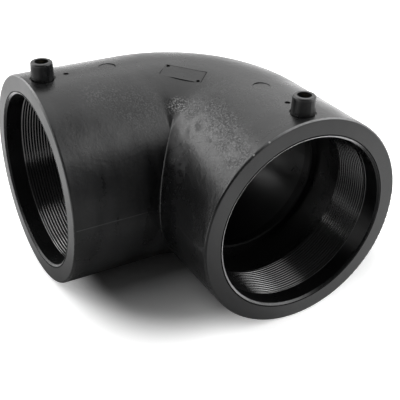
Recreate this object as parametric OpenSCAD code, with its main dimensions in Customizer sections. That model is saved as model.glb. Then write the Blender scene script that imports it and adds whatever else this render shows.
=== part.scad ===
// Electrofusion elbow, 90 degrees, in polyethylene, with one wound heating wire and two terminals.
// It lies on its side: one socket opens along +X, the other along -Y, and the terminals point up.
// The construction starts from the point where the two socket axes cross.

/* [Sockets] */
// Outside diameter of the pipe that each socket takes
pipe_d = 125; // [90:0.5:160]
// Difference between the socket's bore and the pipe
pipe_clearance = 1.8; // [1.2:0.1:2.4]
// Wall between the socket's bore and the outside
wall = 13.9; // [12:0.1:16]
// Depth from the mouth to the pipe stop
insertion_depth = 72; // [64:0.5:76]
// Length of plain bore between the pipe stop and the bend
plain_run = 8; // [4:0.5:30]
// Radius of the round on the outer edge of the mouth
mouth_round = 1.5; // [0.5:0.1:3]
// Width of the bevel on the inner edge of the mouth
mouth_bevel = 1.3; // [0.4:0.1:1.5]
// Width of the fine groove between the bevel and the flat face
face_groove_w = 0.8; // [0.3:0.1:1]
// Depth of that groove
face_groove_depth = 0.7; // [0.2:0.1:1]

/* [Bend] */
// Radius of the bore's wall on the inside of the bend
inside_r = 2; // [1:0.5:10]
// Height of the pipe stop, from the socket's bore down to the bore of the bend
stop_step = 5.4; // [5:0.1:8]
// Bevel on the inner edge of the pipe stop
stop_bevel = 1; // [0.4:0.1:2]
// Width of the raised parting line
parting_w = 0.5; // [0.3:0.1:1]
// Height of the raised parting line
parting_h = 0.15; // [0.1:0.05:0.4]

/* [Fusion zone] */
// Smooth zone between the mouth and the first turn of wire
cold_zone = 13.5; // [12.5:0.5:16]
// Diameter of the coated heating wire
wire_d = 2.5; // [2.4:0.05:3]
// Distance from one turn to the next, less than the wire's diameter because the coats are fused
wire_pitch = 2.25; // [2:0.05:2.35]
// Turns in each socket
turns = 14; // [10:1:16]
// Height of the turns above the socket's bore
turn_rise = 0.25; // [0.05:0.05:0.3]

/* [Terminals] */
// Distance from the mouth to the terminal's axis
terminal_from_mouth = 13; // [11:0.5:16]
// Height of the shroud above the crest of the socket
shroud_h = 12.1; // [10:0.1:14]
// Outside diameter of the shroud at its foot
shroud_foot_d = 16; // [14.5:0.1:18]
// Outside diameter of the shroud at its rim
shroud_rim_d = 15.2; // [13.5:0.1:16]
// Radius of the round on the shroud's rim
shroud_round = 1.2; // [0.4:0.1:2]
// Bore of the shroud
shroud_bore_d = 9.5; // [8.5:0.1:10.5]
// Depth of the shroud's bore
shroud_depth = 12; // [10:0.1:13]
// Width of the groove round the shroud's foot
foot_groove_w = 0.9; // [0.5:0.1:1.5]
// Depth of that groove, measured from the crest
foot_groove_depth = 1.1; // [0.8:0.1:1.6]
// Diameter of the terminal pin
pin_d = 4; // [3.8:0.1:4.7]
// Distance from the shroud's rim down to the tip of the pin
pin_drop = 3.2; // [2.7:0.1:4]
// Diameter of the pin's collar on the floor of the shroud
pin_collar_d = 6; // [5.4:0.1:7]
// Height of the collar above the floor
pin_collar_h = 0.8; // [0.4:0.1:1.5]
// Depth of the collar's seat below the floor
pin_seat_depth = 1.6; // [1:0.1:2.5]
// Diameter of the pin's foot, which the wire is welded to
pin_foot_d = 6.6; // [6.2:0.1:8]
// Height of the pin's foot
pin_foot_h = 1.2; // [0.8:0.1:2]

/* [Melt indicators] */
// Distance from the mouth to the indicator's axis
indicator_from_mouth = 30; // [24:0.5:40]
// Diameter of the indicator's hole
indicator_hole_d = 3.5; // [3.2:0.1:5]
// Depth of the indicator's hole
indicator_depth = 8; // [5:0.1:9]
// Diameter of the indicator pin
indicator_pin_d = 3; // [2.2:0.1:3.1]
// Distance from the crest down to the top of the indicator pin
indicator_drop = 0.9; // [0.4:0.1:2]

/* [Mould marks] */
// Distance from the mouth to the centre of the round mark
mark_from_mouth = 61; // [50:0.5:70]
// Diameter of the round mark
mark_d = 12.2; // [8:0.1:16]
// Depth of the round mark below the crest
mark_depth = 0.45; // [0.3:0.05:1]
// Length of the flat pad on the bend
pad_l = 31.5; // [24:0.5:36]
// Width of the flat pad
pad_w = 12.8; // [8:0.1:16]
// Radius of the pad's corners
pad_corner = 1.2; // [0.4:0.1:3]
// Place of the pad round the bend, in degrees from the left socket
pad_place = 41; // [30:1:60]
// Lean of the pad from the crest towards the inside of the bend, in degrees
pad_lean = 15.4; // [8:0.1:20]
// Turn of the pad about its own centre, in degrees
pad_turn = -9; // [-15:1:15]
// Height of the pad's flat above the curved wall at its centre
pad_rise = 0.35; // [0.2:0.05:0.6]
// Diameter of the two pits on the pad
pit_d = 2; // [1:0.1:3]
// Depth of the pits
pit_depth = 1.2; // [0.5:0.1:2]
// Distance of the pits from the pad's ends
pit_inset = 2.5; // [2:0.1:5]

/* [Hidden] */
$fn = 96;

// Overlap that makes cuts break through cleanly
eps = 0.5;
// Bore and outside of the sockets, and bore of the bend
bore_r = (pipe_d + pipe_clearance) / 2;
body_r = bore_r + wall;
flow_r = bore_r - stop_step;
// Radius of the bend's centre line, and distance from the crossing of the axes to each mouth
bend_r = flow_r + inside_r;
centre_to_mouth = bend_r + plain_run + insertion_depth;
// Wire: centre line of the turns, seat of the winding, and the winding's two ends from the mouth
wire_r = wire_d / 2;
turn_r = bore_r - turn_rise + wire_r;
seat_r = turn_r + wire_r;
winding_start = cold_zone + wire_r;
winding_end = winding_start + (turns - 1) * wire_pitch + wire_r;
// Narrow land between the mouth's bevel and the fine groove
face_land = 0.2;
// Distance from the end of the parting line to the round of the mouth
parting_gap = 1.2;
// Link between the two windings: its centre line under the axis plane, sunk into the backing of the turns
link_sink = 0.5;
link_r = seat_r + wire_r - link_sink;
// Shroud levels above the axis plane
rim_z = body_r + shroud_h;
floor_z = rim_z - shroud_depth;
seat_z = floor_z - pin_seat_depth;
// Underside of the pin's foot, which rests on the end of the wire's tail
foot_z = seat_r + wire_d;
pin_tip_bevel = 0.5;
// Depth of the shroud's root inside the wall
shroud_root = 4;
// Depth of the pocket that the pad fills, and room above it
pad_root = 1.5;
pad_room = 3;
// Distance of the pits from the pad's sides
pit_edge = pit_d / 2 + 0.4;

// Puts the elbow on z = 0 with the middle of its outline over the origin
module place() {
    shift = (centre_to_mouth - body_r) / 2;
    translate([-shift, shift, body_r]) children();
}

// Right socket as drawn, left socket as its mirror image about the plane of the mitre
module right_side() { children(); }
module left_side() { mirror([1, 1, 0]) children(); }
module both_sides() {
    right_side() children();
    left_side() children();
}

// Turns a shape drawn along +Z so that it lies on the right socket's axis
module on_axis() { rotate([0, 90, 0]) children(); }

// Places a shape that stands on the crest of the right socket, at a distance from its mouth
module on_crest(from_mouth) { translate([centre_to_mouth - from_mouth, 0, 0]) children(); }

// Quarter bend of a profile drawn to the right of the bend's axis
module bend_sweep() {
    translate([bend_r, -bend_r, 0])
        rotate([0, 0, 90])
            rotate_extrude(angle = 90)
                children();
}

// Solid of one socket, from the end of the bend to the rounded mouth
module socket_blank() {
    on_axis() rotate_extrude() {
        translate([0, bend_r]) square([body_r, centre_to_mouth - mouth_round - bend_r]);
        translate([0, bend_r]) square([body_r - mouth_round, centre_to_mouth - bend_r]);
        translate([body_r - mouth_round, centre_to_mouth - mouth_round]) circle(mouth_round);
    }
}

// Solid of the bend: its radius is smaller than the body's, so the inside closes in a crease.
// The square keeps the profile off the far side of the bend's axis.
module bend_blank() {
    bend_sweep() intersection() {
        translate([bend_r, 0]) circle(body_r);
        translate([0, -2 * body_r]) square([4 * body_r, 4 * body_r]);
    }
}

// Raised parting line round the outside, in the plane of the axes
module parting_line() {
    run = centre_to_mouth - mouth_round - parting_gap - bend_r;
    both_sides()
        for (side = [-1, 1])
            translate([bend_r, side * body_r - parting_h, -parting_w / 2])
                cube([run, 2 * parting_h, parting_w]);
    bend_sweep()
        translate([bend_r + body_r - parting_h, -parting_w / 2]) square([2 * parting_h, parting_w]);
}

// Tail of the wire: it rises from the first turn to the foot of the pin
module wire_tail() {
    on_crest(winding_start)
        translate([0, 0, turn_r]) cylinder(h = foot_z - turn_r, r = wire_r);
}

// Link between the windings, buried in the wall below the bore
module wire_link() {
    run = centre_to_mouth - winding_end + wire_pitch - bend_r;
    both_sides()
        translate([bend_r, 0, -link_r]) rotate([0, 90, 0]) cylinder(h = run, r = wire_r);
    bend_sweep() translate([bend_r, -link_r]) circle(wire_r);
}

// Seat that the winding fills in the wall of one socket
module winding_seat() {
    on_axis()
        translate([0, 0, centre_to_mouth - winding_end])
            cylinder(h = winding_end - cold_zone, r = seat_r);
}

// One winding: fused turns with round crests towards the bore and a plain backing
module winding() {
    on_axis() rotate_extrude() {
        for (i = [0 : turns - 1])
            translate([turn_r, centre_to_mouth - winding_start - i * wire_pitch]) circle(wire_r);
        translate([turn_r, centre_to_mouth - winding_end])
            square([seat_r - turn_r, winding_end - cold_zone]);
    }
}

// Everything that is open inside one socket, from the mouth to the pipe stop
module socket_bore() {
    stop_x = centre_to_mouth - insertion_depth;
    on_axis() {
        translate([0, 0, stop_x]) cylinder(h = insertion_depth + eps, r = bore_r);
        translate([0, 0, centre_to_mouth - mouth_bevel])
            cylinder(h = mouth_bevel + eps, r1 = bore_r, r2 = bore_r + mouth_bevel + eps);
        translate([0, 0, bend_r]) cylinder(h = stop_x - bend_r + eps, r = flow_r);
        translate([0, 0, stop_x - stop_bevel])
            cylinder(h = stop_bevel + eps, r1 = flow_r, r2 = flow_r + stop_bevel + eps);
    }
    winding_seat();
}

// Fine groove in the flat face, just outside the bevel
module face_groove() {
    groove_r = bore_r + mouth_bevel + face_land;
    on_axis() rotate_extrude()
        translate([groove_r, centre_to_mouth - face_groove_depth])
            square([face_groove_w, face_groove_depth + eps]);
}

// Bore of the bend
module bend_bore() {
    bend_sweep() translate([bend_r, 0]) circle(flow_r);
}

// Solid shroud of one terminal, with a slight taper and a rounded rim
module shroud() {
    root_z = body_r - shroud_root;
    rim_r = shroud_rim_d / 2;
    on_crest(terminal_from_mouth) rotate_extrude() {
        polygon([[0, root_z], [shroud_foot_d / 2, root_z], [shroud_foot_d / 2, body_r],
                 [rim_r, rim_z - shroud_round], [0, rim_z - shroud_round]]);
        translate([0, rim_z - 2 * shroud_round]) square([rim_r - shroud_round, 2 * shroud_round]);
        translate([rim_r - shroud_round, rim_z - shroud_round]) circle(shroud_round);
    }
}

// Groove round the shroud's foot
module foot_groove() {
    on_crest(terminal_from_mouth)
        translate([0, 0, body_r - foot_groove_depth])
            difference() {
                cylinder(h = foot_groove_depth + eps, r = shroud_foot_d / 2 + foot_groove_w);
                translate([0, 0, -eps])
                    cylinder(h = foot_groove_depth + 3 * eps, r = shroud_foot_d / 2);
            }
}

// Open bore of the shroud, and the room that the pin fills under its floor
module terminal_room() {
    on_crest(terminal_from_mouth) {
        translate([0, 0, floor_z]) cylinder(h = shroud_depth + eps, d = shroud_bore_d);
        translate([0, 0, seat_z]) cylinder(h = pin_seat_depth + eps, d = pin_collar_d);
        translate([0, 0, foot_z]) cylinder(h = seat_z - foot_z + eps, d = pin_d);
        translate([0, 0, foot_z]) cylinder(h = pin_foot_h, d = pin_foot_d);
    }
}

// Turned contact pin: foot on the wire's tail, collar on the shroud's floor, and bevelled tip
module terminal_pin() {
    tip_z = rim_z - pin_drop;
    shank = pin_d / 2;
    collar = pin_collar_d / 2;
    foot = pin_foot_d / 2;
    on_crest(terminal_from_mouth) rotate_extrude()
        polygon([[0, foot_z], [foot, foot_z], [foot, foot_z + pin_foot_h],
                 [shank, foot_z + pin_foot_h], [shank, seat_z], [collar, seat_z],
                 [collar, floor_z + pin_collar_h], [shank, floor_z + pin_collar_h],
                 [shank, tip_z - pin_tip_bevel], [shank - pin_tip_bevel, tip_z], [0, tip_z]]);
}

// Blind hole of one melt indicator
module indicator_hole() {
    on_crest(indicator_from_mouth)
        translate([0, 0, body_r - indicator_depth])
            cylinder(h = indicator_depth + eps, d = indicator_hole_d);
}

// Small pin that stands on the floor of the indicator's hole
module indicator_pin() {
    on_crest(indicator_from_mouth)
        translate([0, 0, body_r - indicator_depth])
            cylinder(h = indicator_depth - indicator_drop, d = indicator_pin_d);
}

// Shallow round mark of a mould insert
module round_mark() {
    on_crest(mark_from_mouth)
        translate([0, 0, body_r - mark_depth]) cylinder(h = mark_depth + eps, d = mark_d);
}

// Local frame of the pad: its flat is the plane z = 0, and its length lies along y
module on_pad() {
    translate([bend_r, -bend_r, 0])
        rotate([0, 0, 180 - pad_place])
            translate([bend_r - body_r * sin(pad_lean), 0, body_r * cos(pad_lean)])
                rotate([0, -pad_lean, 0])
                    translate([0, 0, pad_rise])
                        rotate([0, 0, pad_turn])
                            children();
}

// Outline of the pad, a rectangle with round corners
module pad_outline() {
    half_w = pad_w / 2 - pad_corner;
    half_l = pad_l / 2 - pad_corner;
    square([pad_w, 2 * half_l], center = true);
    square([2 * half_w, pad_l], center = true);
    for (x = [-half_w, half_w], y = [-half_l, half_l]) translate([x, y]) circle(pad_corner);
}

// Pocket that clears the curved wall, and the flat block that fills it up to the pad's plane
module pad_pocket() {
    on_pad() translate([0, 0, -pad_root]) linear_extrude(pad_root + pad_room) pad_outline();
}

module pad_block() {
    on_pad() translate([0, 0, -pad_root]) linear_extrude(pad_root) pad_outline();
}

// Pits at two opposite corners of the pad
module pad_pits() {
    on_pad()
        for (end = [-1, 1])
            translate([end * (pad_w / 2 - pit_edge), end * (pad_l / 2 - pit_inset), -pit_depth])
                cylinder(h = pit_depth + eps, d = pit_d);
}

// Whole outside of the moulding
module body_blank() {
    difference() {
        union() {
            both_sides() {
                socket_blank();
                shroud();
            }
            bend_blank();
            parting_line();
        }
        pad_pocket();
    }
    pad_block();
}

// Moulded body: one piece with sockets, bend and shrouds
module body() {
    color("#2b2c2e") place() difference() {
        body_blank();
        both_sides() {
            socket_bore();
            face_groove();
            foot_groove();
            terminal_room();
            wire_tail();
            indicator_hole();
            round_mark();
        }
        bend_bore();
        wire_link();
        pad_pits();
    }
}

// Coated heating wire: a winding in each socket, the link between them and a tail to each pin
module heating_wire() {
    color("#1e1f21") place() {
        both_sides() {
            winding();
            wire_tail();
        }
        wire_link();
    }
}

body();
heating_wire();
color("#b5a642") place() left_side() terminal_pin();  // terminal_pin_left
color("#b5a642") place() right_side() terminal_pin();  // terminal_pin_right
color("#3a3b3d") place() left_side() indicator_pin();  // indicator_pin_left
color("#3a3b3d") place() right_side() indicator_pin();  // indicator_pin_right
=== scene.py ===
"""Electrofusion elbow, black polyethylene: materials, floor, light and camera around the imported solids."""

import math

import bmesh
import bpy
from mathutils import Matrix, Vector


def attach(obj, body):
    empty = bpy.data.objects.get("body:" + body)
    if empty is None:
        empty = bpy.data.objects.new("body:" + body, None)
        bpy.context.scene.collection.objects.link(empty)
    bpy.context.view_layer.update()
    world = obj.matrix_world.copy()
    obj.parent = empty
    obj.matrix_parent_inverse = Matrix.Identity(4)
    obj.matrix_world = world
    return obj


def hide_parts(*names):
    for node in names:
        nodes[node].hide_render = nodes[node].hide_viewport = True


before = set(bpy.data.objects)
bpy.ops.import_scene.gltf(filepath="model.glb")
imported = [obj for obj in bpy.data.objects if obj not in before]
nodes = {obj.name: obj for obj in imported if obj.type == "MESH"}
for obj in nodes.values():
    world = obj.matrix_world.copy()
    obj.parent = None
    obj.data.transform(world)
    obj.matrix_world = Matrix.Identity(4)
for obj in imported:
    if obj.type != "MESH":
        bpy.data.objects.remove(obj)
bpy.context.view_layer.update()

# The photograph's camera, from a fit of the outlines: direction, roll, distance and focal length
AXES_CROSS = Vector((-0.03135, 0.03135, 0.0773))
FIT_UNIT = 0.0758
AZIMUTH, ELEVATION, ROLL = (math.radians(d) for d in (59.5451, 30.8865, 1.4739))
DISTANCE = 8.6393 * FIT_UNIT
FOCAL_PX, FRAME_PX = 818.598, 400.0
CROSS_PX = (201.1555, 140.8707)
SENSOR_MM = 36.0

# Sizes of the CAD model, in metres: s runs along a socket's axis from the crossing of the axes, and r is the
# distance from that axis
MOUTH_S, BEND_R = 0.140, 0.060
WIRE_R, TURN_R, SEAT_R, LINK_R = 0.00125, 0.0644, 0.06565, 0.0664
FIRST_DEPTH, PITCH, TURNS = 0.01475, 0.00225, 14
ZONE_START, ZONE_END = 0.0135, 0.04525

# The winding in the scene: the lands' radius, the backing's, and how close the loops at the lands' edges lie
FILL_R, BACKING_R, LOOP = 0.06343, 0.0642, 0.0002
# Steps round one turn, down to the link, along the link's bend, and round the section of link and tails
STEPS, DIVE_STEPS, LINK_STEPS, ROUND_STEPS = 192, 96, 24, 12
# Angles round the wire's section from its inward side: fine where it shows, coarse where it is buried
SECTION = [math.radians(d) for d in (0, 18, 36, 54, 72, 95, 140, 180, 220, 265, 288, 306, 324, 342)]

# Where each surface of a socket lies, in metres: between which s, and between which r
SURFACES = {
    "bore": ((0.0600, 0.1386), (None, 0.06362)),
    "stop_edge": ((0.0668, 0.0682), (None, 0.0592)),
    "zone_edge": ((0.12635, 0.12685), (None, 0.0637)),
    "bevel": ((0.13865, None), (0.06345, 0.06478)),
    "groove": ((0.1380, 0.13997), (0.06482, 0.06578)),
    "face": ((0.1395, None), (0.0640, None)),
    "rim_highlight": ((0.13880, None), (0.0762, None)),
}
# The bore of the bend: its radius, and the s at which the sockets' own bores take over
BEND_BORE_R, BEND_BORE_END = 0.0584, 0.0602
# The wire's crests: from which s and r they show, and between which r they pass into the valleys
CREST_START, CREST_R, CREST_EDGE = 0.090, 0.0600, (0.06360, 0.06380)
# Heights on the shrouds: above which the side starts, and where it passes into the rim
SHROUD_FOOT, SHROUD_TOP = 0.0778, (0.0870, 0.0882)
# How squarely a mouth's face looks along its axis, and the pitch of its turning marks
FACE_NORMAL, TURNING_PITCH = 0.97, 0.00055

# The flat pad: its middle, its axes (across, along, up), half its width and length, and how far the painted
# shade along its edge reaches up and down and to the side
PAD_CENTRE = (0.03028, -0.03416, 0.07486)
PAD_AXES = ((-0.61602, 0.74278, 0.26229),
            (-0.76181, -0.64647, 0.04154),
            (0.20042, -0.17422, 0.96410))
PAD_HALF = (0.0064, 0.01575)
PAD_DEPTH, PAD_LINE = 0.004, (0.0002, 0.0006)

# Wear, stains, painted sheen and painted shade on the skin, in mm from the crossing of the axes: middle, full
# within, gone beyond
SANDY = (((64.0, -45.0, 63.0), 5.0, 16.0), ((78.0, -39.0, 67.0), 6.0, 18.0),
         ((96.0, -42.0, 65.0), 6.0, 20.0), ((114.0, -45.0, 63.0), 7.0, 19.0),
         ((129.0, -50.0, 59.0), 5.0, 16.0))
FAINTLY_SANDY = (((44.0, -76.0, 63.0), 6.0, 30.0), ((96.0, -8.0, 77.0), 4.0, 13.0),
                 ((0.0, -96.0, 77.0), 2.0, 7.0), ((30.0, -95.0, 71.0), 6.0, 26.0),
                 ((60.0, -22.0, 74.0), 6.0, 24.0))
PALE = (((52.0, -50.0, 62.0), 3.0, 10.0),)
# painted sheen: a pale strip on the right socket beside the crease
SHEEN_STRIP = (((60.0, -56.0, 54.0), 3.0, 12.0), ((70.0, -61.0, 47.0), 3.0, 12.0),
          ((79.0, -65.0, 41.0), 2.0, 11.0))
NICKS = (((139.6, -44.4, 63.3), 0.3, 1.0), ((139.6, -33.3, 69.4), 0.3, 1.0),
         ((140.0, -12.0, 64.6), 0.2, 0.8))
# the indicator holes and the pits, painted black as painted shade
SHADED_HOLES = (((43.45, -29.3, 73.0), 1.1, 1.7), ((17.1, -39.0, 76.7), 1.1, 1.7),
        ((110.0, 0.0, 77.0), 1.8, 2.3), ((0.0, -110.0, 77.0), 1.8, 2.3))
STAINS = (((80.0, -53.0, 56.5), 3.0, 9.0), ((101.0, -54.5, 55.0), 2.0, 6.0),
          ((92.0, -69.0, 35.0), 3.0, 10.0))
# The round marks on the crests: their middles, and the radius and width of the painted shade round them
ROUND_MARKS = ((79.0, 0.0, 77.0), (0.0, -79.0, 77.0))
MARK_RING_R, MARK_RING_WIDTH = 6.1, 0.5

# Colours of the body, where a pair is mixed by cloud or grain
SKIN = ((0.004, 0.0041, 0.0043), (0.007, 0.0072, 0.0075))
GRAIN_TOP = (0.011, 0.0112, 0.0116)
BANDS = ((0.010, 0.0102, 0.0105), (0.022, 0.0222, 0.0226))
SAND_SPECK, PALE_SPECK = (0.095, 0.095, 0.096), (0.22, 0.22, 0.22)
# painted sheen beside the crease, painted highlight on the crease, and the pale parting line
SHEEN_SKIN, CREASE_HIGHLIGHT, SEAM_LINE = (0.055, 0.055, 0.0555), (0.13, 0.13, 0.131), (0.05, 0.05, 0.051)
# pale nicks, and black painted shade for holes, pits, the groove, the pad's and marks' edges and the wire's
# valleys
NICK, SHADE_BLACK = (0.50, 0.50, 0.50), (0.002, 0.002, 0.002)
FACE = ((0.006, 0.0062, 0.0065), (0.010, 0.0103, 0.0108))
# bevel worn pale with a painted highlight, low down and high up; high up it is painted paler, where less
# light falls on it
LOW_BEVEL = ((0.17, 0.17, 0.174), (0.32, 0.32, 0.324))
HIGH_BEVEL = ((0.42, 0.42, 0.425), (0.72, 0.72, 0.725))
# painted highlight on the mouth's outer edge near the crest
RIM_HIGHLIGHT = ((0.12, 0.12, 0.121), (0.28, 0.28, 0.281))
ZONE_EDGE = (0.10, 0.10, 0.101)

# The floor's half side and its colours, in general and where the plastic mirrors it dimly, and how much light
# the world gives low and high
FLOOR_HALF, FLOOR_WHITE, FLOOR_DIM = 12.0, (0.95, 0.95, 0.95), (0.45, 0.45, 0.45)
WORLD_LOW, WORLD_HIGH = 0.03, 0.12
WHITE = (1.0, 1.0, 1.0, 1.0)

# Lamps that shade the floor, from a fit of its shadow in the photograph: azimuth, elevation and strength, and
# the spread of each in degrees
SUN_SPREAD = 40.0
SUNS = (("left_high", -45.0, 52.0, 1.09), ("front_high", 0.0, 52.0, 0.48), ("right_rear", 135.0, 32.0, 1.26),
        ("rear_low", 180.0, 15.0, 3.06), ("left_low", -90.0, 15.0, 1.80))
# Lamps that the plastic mirrors: place, point that they are turned to, size and radiance
ELBOW_MIDDLE = (0.0, 0.0, 0.06)
SOFTBOXES = (("rear_top", (-0.20, 1.20, 1.20), (-0.20, 1.20, 0.0), (3.4, 1.9), 1.65),
             ("left_top", (-0.72, -0.32, 1.20), (-0.72, -0.32, 0.0), (1.55, 1.15), 1.7),
             ("left", (-0.92, -0.52, 0.70), ELBOW_MIDDLE, (0.6, 0.7), 4.0),
             ("front_left", (-0.36, -0.96, 0.62), ELBOW_MIDDLE, (0.6, 0.4), 6.0),
             ("left_low", (-0.80, -0.68, 0.24), ELBOW_MIDDLE, (0.7, 0.32), 1.6),
             ("right_top", (0.80, 0.72, 1.10), (0.80, 0.72, 0.0), (0.8, 0.7), 1.0),
             ("right_rear", (0.72, 1.17, 0.80), ELBOW_MIDDLE, (0.8, 0.6), 5.0))


def add_object(name, data):
    """Object with this data, linked to the scene."""
    obj = bpy.data.objects.new(name, data)
    bpy.context.scene.collection.objects.link(obj)
    return obj


def direction(azimuth, elevation):
    """Unit vector towards an azimuth from -Y towards +X, and an elevation, both in radians."""
    return Vector((math.sin(azimuth) * math.cos(elevation), -math.cos(azimuth) * math.cos(elevation),
                   math.sin(elevation)))


def make_camera():
    """The photograph's camera, placed so that the crossing of the axes falls on its pixel."""
    back = direction(AZIMUTH, ELEVATION)
    flat = Vector((math.cos(AZIMUTH), math.sin(AZIMUTH), 0.0))
    rise = back.cross(flat)
    right = math.cos(ROLL) * flat + math.sin(ROLL) * rise
    up = -math.sin(ROLL) * flat + math.cos(ROLL) * rise
    place = (AXES_CROSS + back * DISTANCE
             - right * ((CROSS_PX[0] - FRAME_PX / 2) / FOCAL_PX * DISTANCE)
             + up * ((CROSS_PX[1] - FRAME_PX / 2) / FOCAL_PX * DISTANCE))
    data = bpy.data.cameras.new("photo_camera")
    data.sensor_fit = "HORIZONTAL"
    data.sensor_width = SENSOR_MM
    data.lens = FOCAL_PX / FRAME_PX * SENSOR_MM
    data.clip_start, data.clip_end = 0.01, 50.0
    camera = add_object("photo_camera", data)
    turn = Matrix((right, up, back)).transposed().to_4x4()
    camera.matrix_world = Matrix.Translation(place) @ turn
    bpy.context.scene.camera = camera


class Nodes:
    """Short names for the shader nodes of one material, or of the world."""

    def __init__(self, name, world=False):
        self.data = (bpy.data.worlds if world else bpy.data.materials).new(name)
        self.data.use_nodes = True
        self.tree = self.data.node_tree
        self.tree.nodes.clear()
        self.out = self.add("ShaderNodeOutputWorld" if world else "ShaderNodeOutputMaterial")

    def add(self, kind, **settings):
        node = self.tree.nodes.new(kind)
        for key, value in settings.items():
            setattr(node, key, value)
        return node

    def feed(self, socket, value):
        """Link a socket to another one, or set its value."""
        if isinstance(value, bpy.types.NodeSocket):
            self.tree.links.new(value, socket)
        elif isinstance(value, (tuple, list)) and len(value) == 3 and len(socket.default_value) == 4:
            socket.default_value = (*value, 1.0)
        else:
            socket.default_value = value

    def coord(self):
        return self.add("ShaderNodeTexCoord").outputs["Object"]

    def math(self, op, a, b=0.0):
        node = self.add("ShaderNodeMath", operation=op)
        self.feed(node.inputs[0], a)
        self.feed(node.inputs[1], b)
        return node.outputs[0]

    def vmath(self, op, a, b, out="Vector"):
        node = self.add("ShaderNodeVectorMath", operation=op)
        self.feed(node.inputs[0], a)
        self.feed(node.inputs[1], b)
        return node.outputs[out]

    def split(self, vector):
        node = self.add("ShaderNodeSeparateXYZ")
        self.feed(node.inputs[0], vector)
        return node.outputs[0], node.outputs[1], node.outputs[2]

    def combine(self, x, y, z):
        node = self.add("ShaderNodeCombineXYZ")
        for key, value in enumerate((x, y, z)):
            self.feed(node.inputs[key], value)
        return node.outputs[0]

    def length(self, a, b):
        return self.math("SQRT", self.math("ADD", self.math("MULTIPLY", a, a), self.math("MULTIPLY", b, b)))

    def above(self, value, limit):
        return self.math("GREATER_THAN", value, limit)

    def below(self, value, limit):
        return self.math("LESS_THAN", value, limit)

    def times(self, *values):
        """Product of all values, so 1 where each of a row of masks is 1."""
        whole = values[0]
        for value in values[1:]:
            whole = self.math("MULTIPLY", whole, value)
        return whole

    def most(self, *values):
        """The largest of all values."""
        whole = values[0]
        for value in values[1:]:
            whole = self.math("MAXIMUM", whole, value)
        return whole

    def noise(self, vector, scale, detail, rough):
        node = self.add("ShaderNodeTexNoise")
        self.feed(node.inputs["Vector"], vector)
        for key, value in (("Scale", scale), ("Detail", detail), ("Roughness", rough)):
            node.inputs[key].default_value = value
        return node.outputs["Fac"]

    def ramp(self, value, low, high, to_low=0.0, to_high=1.0):
        """Smooth step from to_low at low to to_high at high."""
        node = self.add("ShaderNodeMapRange", interpolation_type="SMOOTHSTEP")
        for key, setting in (("Value", value), ("From Min", low), ("From Max", high),
                             ("To Min", to_low), ("To Max", to_high)):
            self.feed(node.inputs[key], setting)
        return node.outputs["Result"]

    def blend(self, mask, a, b):
        """Number a where the mask is 0, and b where it is 1."""
        node = self.add("ShaderNodeMix", data_type="FLOAT")
        for key, value in ((0, mask), (2, a), (3, b)):
            self.feed(node.inputs[key], value)
        return node.outputs[0]

    def mix(self, mask, a, b):
        """Colour a where the mask is 0, and b where it is 1."""
        node = self.add("ShaderNodeMix", data_type="RGBA")
        self.feed(node.inputs["Factor"], mask)
        self.feed(node.inputs[6], a)
        self.feed(node.inputs[7], b)
        return node.outputs[2]

    def bump(self, height, distance, normal=None):
        node = self.add("ShaderNodeBump")
        node.inputs["Strength"].default_value = 1.0
        self.feed(node.inputs["Distance"], distance)
        self.feed(node.inputs["Height"], height)
        if normal is not None:
            self.feed(node.inputs["Normal"], normal)
        return node.outputs["Normal"]

    def surface(self, color, roughness, normal, ior=1.47, metallic=0.0, specular=0.5):
        """Finishes a material with one Principled shader, and returns it."""
        node = self.add("ShaderNodeBsdfPrincipled")
        self.feed(node.inputs["Base Color"], color)
        self.feed(node.inputs["Roughness"], roughness)
        self.feed(node.inputs["Specular IOR Level"], specular)
        node.inputs["IOR"].default_value = ior
        node.inputs["Metallic"].default_value = metallic
        self.feed(node.inputs["Normal"], normal)
        self.feed(self.out.inputs["Surface"], node.outputs["BSDF"])
        return self.data


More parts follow.
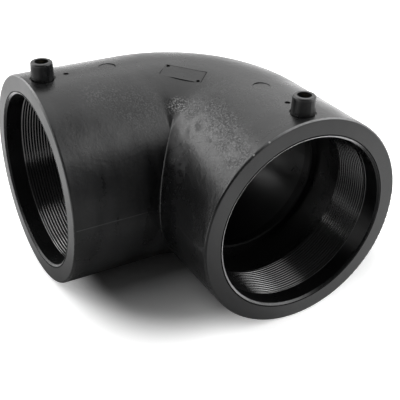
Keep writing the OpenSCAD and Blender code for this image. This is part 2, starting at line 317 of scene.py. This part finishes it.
class Elbow:
    """Places on the elbow as shader values: along and round each socket, and the masks of its surfaces."""

    def __init__(self, n):
        self.n = n
        self.at = n.coord()
        self.local = n.vmath("SUBTRACT", self.at, tuple(AXES_CROSS))
        x, y, z = n.split(self.local)
        normal_x, normal_y, _ = n.split(n.add("ShaderNodeNewGeometry").outputs["Normal"])
        self.x, self.height = x, z
        # each socket: s, r, how squarely the surface looks out of the mouth, and the outside of the bend
        self.right = dict(s=x, r=n.length(y, z), facing=normal_x, back=y)
        self.left = dict(s=n.math("MULTIPLY", y, -1.0), r=n.length(x, z),
                         facing=n.math("MULTIPLY", normal_y, -1.0), back=n.math("MULTIPLY", x, -1.0))
        around = n.math("SUBTRACT", n.length(n.math("SUBTRACT", x, BEND_R), n.math("ADD", y, BEND_R)), BEND_R)
        self.bend_r = n.length(around, z)
        # across the mitre, positive on the right socket, and towards the inside of the bend
        self.mitre, self.inward = n.math("ADD", x, y), n.math("SUBTRACT", x, y)

    def both(self, make):
        """The larger of one value made for each socket."""
        return self.n.math("MAXIMUM", make(self.right), make(self.left))

    def on(self, surface, side):
        """1 where s and r of a socket lie within a surface's limits."""
        n = self.n
        tests = []
        for key, (low, high) in zip("sr", SURFACES[surface]):
            if low is not None:
                tests.append(n.above(side[key], low))
            if high is not None:
                tests.append(n.below(side[key], high))
        return n.times(*tests)

    def on_both(self, surface):
        return self.both(lambda side: self.on(surface, side))

    def spot(self, centre, inner, outer):
        """1 within inner of a point given in mm from the crossing of the axes, 0 beyond outer."""
        away = self.n.vmath("DISTANCE", self.local, tuple(v / 1000.0 for v in centre), out="Value")
        return self.n.ramp(away, inner / 1000.0, outer / 1000.0, 1.0, 0.0)

    def any_of(self, spots):
        return self.n.most(*(self.spot(*spot) for spot in spots))

    def mark_ring_shade(self, centre):
        """Thin ring of painted shade round a mark on the crest, strongest towards the outside of the bend."""
        n = self.n
        x, y, z = n.split(n.vmath("SUBTRACT", self.local, tuple(v / 1000.0 for v in centre)))
        width = MARK_RING_WIDTH / 1000.0
        off = n.math("ABSOLUTE", n.math("SUBTRACT", n.length(x, y), MARK_RING_R / 1000.0))
        return n.times(n.ramp(off, 0.4 * width, width, 1.0, 0.0), n.above(z, -0.002), n.below(z, 0.002),
                       n.ramp(n.math("SUBTRACT", y, x), 0.002, 0.0065, 0.25, 1.0))

    def crease_highlight(self):
        """Painted highlight: a bright line on the right socket's side of the crease."""
        n = self.n
        return n.times(n.ramp(self.mitre, 0.0001, 0.0003), n.ramp(self.mitre, 0.0009, 0.0020, 1.0, 0.0),
                       n.above(self.inward, 0.112), n.ramp(self.height, -0.030, 0.0, 0.0, 1.0))

    def crease_shade(self):
        """Painted shade: skin on the left socket's side of the crease that mirrors less."""
        n = self.n
        return n.times(n.ramp(self.mitre, -0.075, -0.014), n.below(self.mitre, 0.0001),
                       n.ramp(self.inward, 0.100, 0.126), n.ramp(self.height, 0.036, 0.058, 1.0, 0.0),
                       n.ramp(self.height, -0.010, 0.010, 0.5, 1.0))

    def seam(self):
        """Parting line on the inside of the bend, painted pale on the left socket."""
        n = self.n
        s = self.left["s"]
        return n.times(n.ramp(n.math("ABSOLUTE", self.height), 0.00025, 0.00045, 1.0, 0.0),
                       n.above(self.x, 0.0770), n.ramp(s, 0.080, 0.095), n.below(s, 0.1385))

    def shroud_side(self):
        n = self.n
        return n.times(n.above(self.height, SHROUD_FOOT), n.ramp(self.height, *SHROUD_TOP, 1.0, 0.0))

    def bands(self):
        """Uneven soft bands round each socket."""
        n = self.n
        along = n.math("MAXIMUM", self.right["s"], self.left["s"])
        place = n.combine(n.math("MULTIPLY", along, 55.0), n.math("MULTIPLY", self.height, 12.0),
                          n.math("MULTIPLY", self.mitre, 12.0))
        return n.ramp(n.noise(place, 1.0, 3.0, 0.5), 0.40, 0.68)

    def pad_edge_shade(self):
        """Painted shade along the flat pad's two edges towards the left socket and the inside of the bend."""
        n = self.n
        from_middle = n.vmath("SUBTRACT", self.local, PAD_CENTRE)
        across, along, rise = (n.vmath("DOT_PRODUCT", from_middle, axis, out="Value") for axis in PAD_AXES)

        def edge(value, place, other, half):
            line = n.ramp(n.math("ABSOLUTE", n.math("SUBTRACT", value, place)), *PAD_LINE, 1.0, 0.0)
            return n.math("MULTIPLY", line, n.below(n.math("ABSOLUTE", other), half))

        edges = n.math("MAXIMUM", edge(across, PAD_HALF[0], along, PAD_HALF[1]),
                       edge(along, -PAD_HALF[1], across, PAD_HALF[0]))
        return n.math("MULTIPLY", edges, n.below(n.math("ABSOLUTE", rise), PAD_DEPTH))

    def bend_bore(self):
        n = self.n
        return n.times(n.below(self.bend_r, BEND_BORE_R), n.below(self.right["s"], BEND_BORE_END),
                       n.below(self.left["s"], BEND_BORE_END))

    def face(self):
        n = self.n
        return self.both(lambda side: n.math("MULTIPLY", n.above(side["facing"], FACE_NORMAL),
                                             self.on("face", side)))

    def bevel_wear_and_highlight(self):
        """Where the bevel is painted bright, partly worn and partly a painted highlight: away from the
        outside of the bend, and less at the bottom.
        """
        n = self.n

        def worn(side):
            place = n.math("SUBTRACT", side["back"], n.math("MULTIPLY", self.height, 0.25))
            return n.times(self.on("bevel", side), n.ramp(place, 0.014, 0.036, 1.0, 0.0),
                           n.ramp(self.height, -0.062, -0.035, 0.45, 1.0))

        return self.both(worn)

    def rim_highlight(self):
        """Painted highlight on the outer edge of the mouth, near the crest."""
        n = self.n
        return self.both(lambda side: n.times(self.on("rim_highlight", side), n.ramp(side["back"], -0.045, -0.015),
                                              n.ramp(self.height, 0.020, 0.045)))

    def zone_edge(self):
        """Step where the fusion zone begins, on the outside of the bend."""
        n = self.n
        return self.both(lambda side: n.math("MULTIPLY", self.on("zone_edge", side),
                                             n.ramp(side["back"], 0.0, 0.035)))

    def turning_marks(self):
        """Fine rings that the cutter leaves on the flat faces."""
        n = self.n
        per_metre = 2 * math.pi / TURNING_PITCH
        waves = self.both(lambda side: n.math("SINE", n.math("MULTIPLY", side["r"], per_metre)))
        return n.math("MULTIPLY", self.face(), waves)


class Coat:
    """Colour, roughness and mirror strength of one material, painted over one another mask by mask."""

    def __init__(self, n, color, rough, specular):
        self.n, self.color, self.rough, self.specular = n, color, rough, specular

    def paint(self, mask, color=None, rough=None, specular=None):
        if color is not None:
            self.color = self.n.mix(mask, self.color, color)
        if rough is not None:
            self.rough = self.n.blend(mask, self.rough, rough)
        if specular is not None:
            self.specular = self.n.blend(mask, self.specular, specular)

    def roughen(self, mask, amount):
        self.rough = self.n.math("ADD", self.rough, self.n.math("MULTIPLY", mask, amount))


def body_material():
    n = Nodes("moulded_polyethylene")
    elbow = Elbow(n)
    at = elbow.at
    cloud = n.noise(at, 22.0, 4.0, 0.55)
    patch = n.noise(at, 130.0, 3.0, 0.6)
    grain = n.noise(at, 420.0, 3.0, 0.6)
    speck = n.noise(at, 820.0, 2.0, 0.6)
    fine = n.noise(at, 2600.0, 2.0, 0.5)
    bands, face = elbow.bands(), elbow.face()
    socket_bore, bend_bore = elbow.on_both("bore"), elbow.bend_bore()
    bore = n.math("MAXIMUM", socket_bore, bend_bore)
    smooth = n.math("MAXIMUM", bore, face)

    # moulded skin: black, with a light grain that catches dust
    coat = Coat(n, n.mix(cloud, *SKIN), n.ramp(cloud, 0.3, 0.7, 0.20, 0.27), 0.5)
    coat.paint(n.ramp(grain, 0.55, 0.8), GRAIN_TOP)
    coat.paint(bands, n.mix(grain, *BANDS))
    coat.roughen(grain, 0.07)
    coat.roughen(bands, 0.06)
    stain = n.math("MULTIPLY", elbow.any_of(STAINS), n.ramp(patch, 0.45, 0.6))
    coat.paint(stain, specular=0.38)
    coat.roughen(stain, 0.20)

    # sandy places where the mould is worn, and the paler one at the top of the crease
    sand = n.math("MAXIMUM", elbow.any_of(SANDY), n.math("MULTIPLY", elbow.any_of(FAINTLY_SANDY), 0.4))
    sand = n.math("MULTIPLY", sand, n.ramp(patch, 0.35, 0.55, 0.35, 1.0))
    pale = elbow.any_of(PALE)
    gritty = n.math("MAXIMUM", sand, pale)
    glint, dull = n.ramp(speck, 0.48, 0.66), n.ramp(speck, 0.36, 0.50, 1.0, 0.0)
    coat.paint(n.math("MULTIPLY", sand, glint), SAND_SPECK)
    coat.paint(n.math("MULTIPLY", pale, glint), PALE_SPECK)
    coat.paint(n.math("MULTIPLY", gritty, dull), specular=0.28)
    coat.roughen(gritty, 0.10)

    # painted sheen beside the crease, painted highlight on the crease, pale parting line, nicks on the
    # mouth's edge, black painted shade in holes, pits and along the pad's and marks' edges, shrouds' sides
    # that mirror less, and painted shade that mirrors less beside the crease
    painted_sheen = n.times(elbow.any_of(SHEEN_STRIP), n.above(elbow.mitre, 0.0), n.ramp(patch, 0.30, 0.60, 0.6, 1.0))
    painted_shade = n.most(elbow.any_of(SHADED_HOLES), elbow.pad_edge_shade(), *(elbow.mark_ring_shade(mark) for mark in ROUND_MARKS))
    coat.paint(painted_sheen, SHEEN_SKIN)
    coat.paint(elbow.crease_highlight(), CREASE_HIGHLIGHT)
    coat.paint(elbow.seam(), SEAM_LINE)
    coat.paint(elbow.any_of(NICKS), NICK)
    coat.paint(painted_shade, SHADE_BLACK, specular=0.05)
    coat.paint(elbow.shroud_side(), specular=0.22)
    coat.paint(elbow.crease_shade(), specular=0.10)

    # smooth bore, machined faces, bevel worn pale with a painted highlight, painted highlight on the rim's
    # edge, pale step of the fusion zone, and the groove painted black as shade
    coat.paint(bore, SKIN[0], rough=n.ramp(cloud, 0.3, 0.7, 0.24, 0.34))
    coat.paint(socket_bore, specular=0.30)
    coat.paint(bend_bore, specular=0.55)
    coat.paint(elbow.on_both("stop_edge"), rough=0.55)
    coat.paint(face, n.mix(grain, *FACE), rough=n.ramp(cloud, 0.3, 0.7, 0.32, 0.40))
    coat.paint(elbow.on_both("bevel"), specular=0.12)
    coat.paint(elbow.bevel_wear_and_highlight(), n.mix(n.ramp(elbow.height, -0.025, 0.040),
                                              n.mix(grain, *LOW_BEVEL), n.mix(grain, *HIGH_BEVEL)))
    coat.paint(elbow.rim_highlight(), n.mix(grain, *RIM_HIGHLIGHT))
    coat.paint(elbow.zone_edge(), ZONE_EDGE)
    coat.paint(elbow.on_both("groove"), SHADE_BLACK, specular=0.05)

    normal = n.bump(n.noise(at, 55.0, 2.0, 0.5), n.blend(smooth, 0.0004, 0.0001))
    normal = n.bump(grain, n.blend(smooth, 0.00012, 0.00002), normal)
    normal = n.bump(speck, n.math("MULTIPLY", gritty, 0.00030), normal)
    normal = n.bump(fine, 0.00002, normal)
    normal = n.bump(elbow.turning_marks(), 0.000006, normal)
    return n.surface(coat.color, coat.rough, normal, specular=coat.specular)


def wire_material():
    """Smooth black coat; the valleys between the turns are painted black as shade and mirror little."""
    n = Nodes("coated_wire")
    elbow = Elbow(n)
    cloud = n.noise(elbow.at, 60.0, 3.0, 0.5)
    crest = elbow.both(lambda side: n.times(n.above(side["s"], CREST_START), n.above(side["r"], CREST_R),
                                            n.ramp(side["r"], *CREST_EDGE, 1.0, 0.0)))
    coat = Coat(n, SHADE_BLACK, 0.5, 0.05)
    coat.paint(crest, n.mix(cloud, (0.004, 0.004, 0.0042), (0.007, 0.007, 0.0073)),
               rough=n.ramp(cloud, 0.3, 0.7, 0.12, 0.17), specular=0.8)
    normal = n.bump(n.noise(elbow.at, 900.0, 2.0, 0.5), 0.000006)
    return n.surface(coat.color, coat.rough, normal, ior=1.6, specular=coat.specular)


def terminal_material():
    n = Nodes("turned_brass")
    at = n.coord()
    stain = n.noise(at, 700.0, 3.0, 0.6)
    color = n.mix(stain, (0.62, 0.48, 0.24), (0.80, 0.66, 0.38))
    rough = n.ramp(stain, 0.3, 0.7, 0.22, 0.38)
    lines = n.noise(n.vmath("MULTIPLY", at, (1.0, 1.0, 30.0)), 400.0, 2.0, 0.5)
    return n.surface(color, rough, n.bump(lines, 0.00002), metallic=1.0)


def indicator_material():
    n = Nodes("indicator_pin_plastic")
    speck = n.noise(n.coord(), 1500.0, 2.0, 0.5)
    color = n.mix(speck, (0.030, 0.030, 0.031), (0.055, 0.055, 0.057))
    return n.surface(color, n.ramp(speck, 0.3, 0.7, 0.40, 0.55), n.bump(speck, 0.00003))


def socket_point(side, s, r, turn):
    """Point of a socket at s and r, turned from the crest towards the inside of the bend."""
    out, up = r * math.sin(turn), r * math.cos(turn)
    local = (s, -out, up) if side == "right" else (out, -s, up)
    return AXES_CROSS + Vector(local)


def smoothstep(t):
    t = min(max(t, 0.0), 1.0)
    return t * t * (3.0 - 2.0 * t)


class Mesh:
    """Vertices and faces gathered for one object."""

    def __init__(self):
        self.verts, self.faces = [], []

    def tube(self, rows):
        """Skin over closed rows of points, with a cap on each end."""
        base, width = len(self.verts), len(rows[0])
        last = base + (len(rows) - 1) * width
        for row in rows:
            self.verts.extend(row)
        for start in range(base, last, width):
            for k in range(width):
                m = (k + 1) % width
                self.faces.append((start + k, start + m, start + width + m, start + width + k))
        self.faces.append(tuple(base + k for k in reversed(range(width))))
        self.faces.append(tuple(last + k for k in range(width)))

    def build(self, name, mat):
        """Smooth shaded object of what was gathered, with its faces turned outwards."""
        mesh = bpy.data.meshes.new(name)
        mesh.from_pydata([tuple(v) for v in self.verts], [], self.faces)
        mesh.polygons.foreach_set("use_smooth", [True] * len(mesh.polygons))
        mesh.materials.append(mat)
        shape = bmesh.new()
        shape.from_mesh(mesh)
        bmesh.ops.recalc_face_normals(shape, faces=shape.faces)
        shape.to_mesh(mesh)
        shape.free()
        return add_object(name, mesh)


def wind(mesh, side):
    """The helix from under the terminal to its far end, where it dives towards the link under the bore."""
    rows = []
    whole = (TURNS - 1) * STEPS
    for i in range(whole + DIVE_STEPS + 1):
        turn = 2.0 * math.pi * i / STEPS
        depth = FIRST_DEPTH + PITCH * min(i, whole) / STEPS
        centre_r = TURN_R + (LINK_R - TURN_R) * smoothstep((i - whole) / DIVE_STEPS)
        rows.append([socket_point(side, MOUTH_S - depth + WIRE_R * math.sin(a),
                                  centre_r - WIRE_R * math.cos(a), turn) for a in SECTION])
    mesh.tube(rows)


def back_up(mesh, side):
    """Backing behind the turns, with a land at each end that fills the space the helix leaves."""
    rows = []
    land = PITCH + WIRE_R * 0.5
    for i in range(STEPS + 1):
        part = i / STEPS
        near, far = ZONE_START + land * part, ZONE_END - land * (1.0 - part)
        stations = ((ZONE_START, FILL_R), (near, FILL_R),
                    (near + LOOP, BACKING_R), (near + 2 * LOOP, BACKING_R),
                    (far - 2 * LOOP, BACKING_R), (far - LOOP, BACKING_R),
                    (far, FILL_R), (ZONE_END, FILL_R), (ZONE_END, SEAT_R), (ZONE_START, SEAT_R))
        rows.append([socket_point(side, MOUTH_S - depth, r, 2.0 * math.pi * part) for depth, r in stations])
    mesh.tube(rows)


def round_section(centre, across, up):
    """Ring of points of the wire's radius round a centre, in the plane of two unit vectors."""
    angles = (2 * math.pi * k / ROUND_STEPS for k in range(ROUND_STEPS))
    return [centre + across * (WIRE_R * math.cos(a)) + up * (WIRE_R * math.sin(a)) for a in angles]


def link_up(mesh):
    """Link between the two windings: straight, a quarter bend, and straight, all under the bore."""
    z_axis = Vector((0, 0, 1))
    end_s = MOUTH_S - (ZONE_END - PITCH)
    rows = [round_section(socket_point("right", end_s, LINK_R, math.pi), Vector((0, 1, 0)), z_axis)]
    for i in range(LINK_STEPS + 1):
        way = 0.5 * math.pi * i / LINK_STEPS
        out = Vector((-math.sin(way), math.cos(way), 0.0))
        centre = AXES_CROSS + Vector((BEND_R, -BEND_R, -LINK_R)) + out * BEND_R
        rows.append(round_section(centre, out, z_axis))
    rows.append(round_section(socket_point("left", end_s, LINK_R, math.pi), Vector((-1, 0, 0)), z_axis))
    mesh.tube(rows)


def tail_up(mesh, side):
    """Tail from the first turn up to the foot of the pin."""
    ends = [socket_point(side, MOUTH_S - FIRST_DEPTH, r, 0.0) for r in (TURN_R, SEAT_R + 2 * WIRE_R)]
    mesh.tube([round_section(end, Vector((1, 0, 0)), Vector((0, 1, 0))) for end in ends])


def make_heating_wire():
    """The wire wound as a helix, in place of the solid's closed rings."""
    mesh = Mesh()
    for side in ("right", "left"):
        wind(mesh, side)
        back_up(mesh, side)
        tail_up(mesh, side)
    link_up(mesh)
    coil = mesh.build("heating_wire_wound", wire_material())
    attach(coil, "root")
    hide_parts("heating_wire")


def dress(node, mat):
    for slot in nodes[node].material_slots:
        slot.material = mat


def seen_of(n, light, mirrored):
    """1 for rays of the camera and through glass, and mirrored for rays that a gloss sends out."""
    return n.most(light.outputs["Is Camera Ray"], mirrored, light.outputs["Is Transmission Ray"])


def floor_lane(n, x, y):
    """Where the plastic mirrors the floor dimly: a lane in front of the mitre, and far off on the right."""
    beside, ahead = n.math("ADD", x, y), n.math("SUBTRACT", x, y)
    lane = n.times(n.ramp(beside, -0.28, -0.10), n.ramp(ahead, 0.0, 0.15),
                   n.ramp(n.math("SUBTRACT", beside, n.math("MULTIPLY", ahead, 1.3)), -0.16, -0.02, 1.0, 0.0))
    far_right = n.math("MULTIPLY", n.ramp(x, 0.38, 0.50),
                       n.ramp(n.math("SUBTRACT", y, n.math("MULTIPLY", x, 0.7)), -0.10, 0.10, 1.0, 0.0))
    return n.math("MAXIMUM", lane, far_right)


def floor_glow(n, x, y):
    """How strongly the floor glows: not under the elbow, half beside it, and a little more further out."""
    fourth = [n.math("POWER", n.math("ABSOLUTE", value), 4.0) for value in (x, y)]
    away = n.math("POWER", n.math("ADD", *fourth), 0.25)
    return n.math("ADD", n.ramp(away, 0.105, 0.142, 0.0, 0.5),
                  n.ramp(away, 0.135, 0.200, 0.0, n.ramp(y, -0.10, 0.12, 0.1, 0.3)))


def make_floor():
    """White floor: the lamps shade it beside the elbow, and further out it is plain white to the eye."""
    n = Nodes("floor_white")
    light = n.add("ShaderNodeLightPath")
    x, y, _ = n.split(n.vmath("SUBTRACT", n.coord(), tuple(AXES_CROSS)))
    lane, glossy = floor_lane(n, x, y), light.outputs["Is Glossy Ray"]
    seen = seen_of(n, light, n.math("MULTIPLY", glossy, n.math("SUBTRACT", 1.0, lane)))
    diffuse = n.add("ShaderNodeBsdfDiffuse")
    n.feed(diffuse.inputs["Color"], n.mix(n.math("MULTIPLY", glossy, lane), FLOOR_WHITE, FLOOR_DIM))
    glow = n.add("ShaderNodeEmission")
    glow.inputs["Color"].default_value = WHITE
    n.feed(glow.inputs["Strength"], n.math("MULTIPLY", seen, floor_glow(n, x, y)))
    both = n.add("ShaderNodeAddShader")
    n.feed(both.inputs[0], diffuse.outputs[0])
    n.feed(both.inputs[1], glow.outputs[0])
    n.feed(n.out.inputs["Surface"], both.outputs[0])
    mesh = bpy.data.meshes.new("floor")
    corners = [(u * FLOOR_HALF, v * FLOOR_HALF, 0) for u, v in ((-1, -1), (1, -1), (1, 1), (-1, 1))]
    mesh.from_pydata(corners, [], [(0, 1, 2, 3)])
    mesh.materials.append(n.data)
    floor = add_object("floor", mesh)


def make_world():
    """White to the eye; as a light it is dim, and the plastic mirrors it as white only behind the elbow."""
    n = Nodes("studio", world=True)
    light = n.add("ShaderNodeLightPath")
    x, y, z = n.split(n.add("ShaderNodeTexCoord").outputs["Generated"])
    rear = n.math("MULTIPLY", n.ramp(n.math("SUBTRACT", y, x), 0.5, 1.1), n.ramp(z, 0.30, 0.60, 1.0, 0.0))
    seen = seen_of(n, light, n.math("MULTIPLY", light.outputs["Is Glossy Ray"], rear))
    back = n.add("ShaderNodeBackground")
    back.inputs["Color"].default_value = WHITE
    n.feed(back.inputs["Strength"], n.math("MAXIMUM", n.ramp(z, 0.1, 0.8, WORLD_LOW, WORLD_HIGH), seen))
    n.feed(n.out.inputs["Surface"], back.outputs[0])
    bpy.context.scene.world = n.data


def soft_sun(name, azimuth, elevation, strength):
    """Lamp at infinity that lights the floor evenly and isn't mirrored; its spread softens the shadow."""
    data = bpy.data.lights.new(name, "SUN")
    data.angle = math.radians(SUN_SPREAD)
    data.energy = strength
    lamp = add_object(name, data)
    back = direction(math.radians(azimuth), math.radians(elevation))
    lamp.rotation_euler = back.to_track_quat("Z", "Y").to_euler()
    lamp.visible_glossy = False


def softbox(name, place, aim, size, radiance):
    """Rectangular lamp turned to a point, which the plastic mirrors and the floor doesn't see."""
    data = bpy.data.lights.new(name, "AREA")
    data.shape = "RECTANGLE"
    data.size, data.size_y = size
    data.energy = radiance * math.pi * size[0] * size[1]
    lamp = add_object(name, data)
    lamp.location = place
    lamp.rotation_euler = (Vector(place) - Vector(aim)).to_track_quat("Z", "Y").to_euler()
    lamp.visible_camera = False
    lamp.visible_diffuse = False


make_camera()
brass, indicator = terminal_material(), indicator_material()
dress("body", body_material())
make_heating_wire()
for side in ("left", "right"):
    dress("terminal_pin_" + side, brass)
    dress("indicator_pin_" + side, indicator)
make_floor()
make_world()
for name, azimuth, elevation, strength in SUNS:
    soft_sun("sun_" + name, azimuth, elevation, strength)
for name, place, aim, size, radiance in SOFTBOXES:
    softbox("softbox_" + name, place, aim, size, radiance)

scene = bpy.context.scene
scene.view_settings.view_transform = "Standard"
